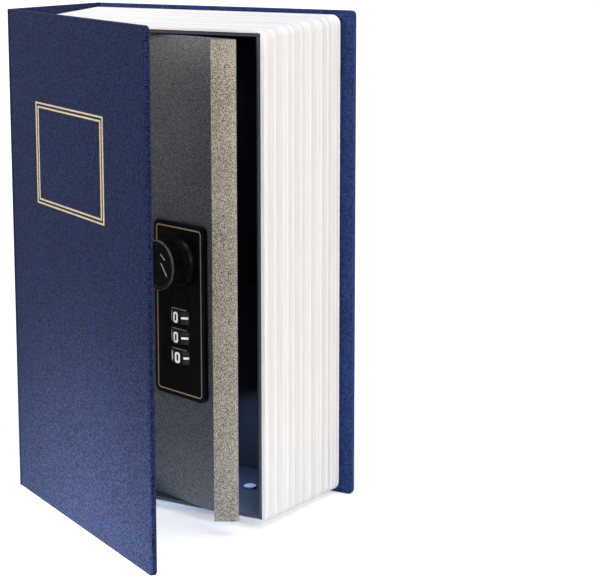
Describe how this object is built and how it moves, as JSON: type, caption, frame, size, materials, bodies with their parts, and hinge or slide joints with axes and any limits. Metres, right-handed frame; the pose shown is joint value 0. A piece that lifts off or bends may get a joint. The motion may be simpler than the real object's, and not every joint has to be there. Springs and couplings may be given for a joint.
{
  "type": "book_diversion_safe",
  "caption": "Hardcover book with a ribbed page-edge frame round a folded steel box, whose hinged steel door has a knob and combination lock; front cover and door stand ajar.",
  "frame": {"origin": "middle of the back cover's tail edge, on the surface that the book stands on", "axes": "+X from the spine to the fore-edge, +Y out of the back cover, +Z from tail to head"},
  "size_m": [0.115, 0.111, 0.18],
  "materials": {
    "book_cloth": "navy grained book cloth",
    "greyboard": "grey millboard",
    "endpaper": "smooth pale paper",
    "page_plastic": "warm white moulding, satin, ribbed",
    "powder_coat": "grey powder coat with a fine orange peel",
    "black_metal": "black enamelled die casting",
    "yellow_zinc": "yellow passivated steel",
    "zinc": "bright zinc plate",
    "black_plastic": "black moulded plastic",
    "felt": "thin dark felt"
  },
  "bodies": {
    "case": {"front_joint_cloth": "book_cloth", "spine_cloth": "book_cloth", "spine_board": "greyboard", "back_joint_cloth": "book_cloth", "back_cover_cloth": "book_cloth", "back_cover_board": "greyboard", "page_frame": "page_plastic", "box_tray": "powder_coat", "box_rivet_1": "zinc", "box_rivet_2": "zinc", "box_rivet_3": "zinc", "box_rivet_4": "zinc", "hinge_pin": "zinc", "strike_bracket": "zinc", "strike_rivet_1": "zinc", "strike_rivet_2": "zinc", "floor_liner": "felt"},
    "front_cover": {"front_cover_cloth": "book_cloth", "front_cover_board": "greyboard", "front_endpaper": "endpaper"},
    "door": {"door_panel": "powder_coat", "lock_plate": "black_metal", "lock_body": "black_metal", "lock_back_cover": "yellow_zinc", "lock_head_plate": "yellow_zinc", "spindle_ring": "zinc", "wheel_axle": "zinc", "detent_spring": "zinc", "lock_clamp": "zinc", "clamp_pin": "yellow_zinc", "clamp_stud_1": "zinc", "clamp_stud_2": "zinc"},
    "knob": {"knob": "black_plastic", "knob_spindle": "zinc", "spindle_disc": "black_metal"},
    "bolt": {"lock_bolt": "zinc"},
    "upper_wheel": {"number_wheel_upper": "black_plastic"},
    "middle_wheel": {"number_wheel_middle": "black_plastic"},
    "lower_wheel": {"number_wheel_lower": "black_plastic"},
    "lever": {"change_lever": "black_plastic"}
  },
  "joints": [
    {"name": "cover_hinge", "type": "hinge", "parent": "case", "child": "front_cover", "pos_m": [-0.05635, -0.0533, 0.09], "axis": [0, 0, -1], "range_deg": [-29.2, 150.8]},
    {"name": "door_hinge", "type": "hinge", "parent": "case", "child": "door", "pos_m": [-0.0513, -0.04555, 0.09], "axis": [0, 0, -1], "range_deg": [-11.9, 61.46]},
    {"name": "knob_turn", "type": "hinge", "parent": "door", "child": "knob", "pos_m": [0.01833, -0.05219, 0.0937], "axis": [0.3034, 0.9529, 0], "range_deg": [0, 90]},
    {"name": "bolt_slide", "type": "slide", "parent": "door", "child": "bolt", "axis": [0.9529, -0.3034, 0], "range_m": [0, 0.008]},
    {"name": "upper_wheel_turn", "type": "hinge", "parent": "door", "child": "upper_wheel", "pos_m": [0.01767, -0.04915, 0.07365], "axis": [0, 0, 1], "continuous": true},
    {"name": "middle_wheel_turn", "type": "hinge", "parent": "door", "child": "middle_wheel", "pos_m": [0.01767, -0.04915, 0.0664], "axis": [0, 0, 1], "continuous": true},
    {"name": "lower_wheel_turn", "type": "hinge", "parent": "door", "child": "lower_wheel", "pos_m": [0.01767, -0.04915, 0.05915], "axis": [0, 0, 1], "continuous": true},
    {"name": "lever_slide", "type": "slide", "parent": "door", "child": "lever", "axis": [0, 0, 1], "range_m": [0, 0.003]}
  ],
  "couplings": [
    {"joint": "door_hinge", "follows": "cover_hinge", "ratio": 0.4075},
    {"joint": "bolt_slide", "follows": "knob_turn", "m_per_rad": 0.00509}
  ]
}
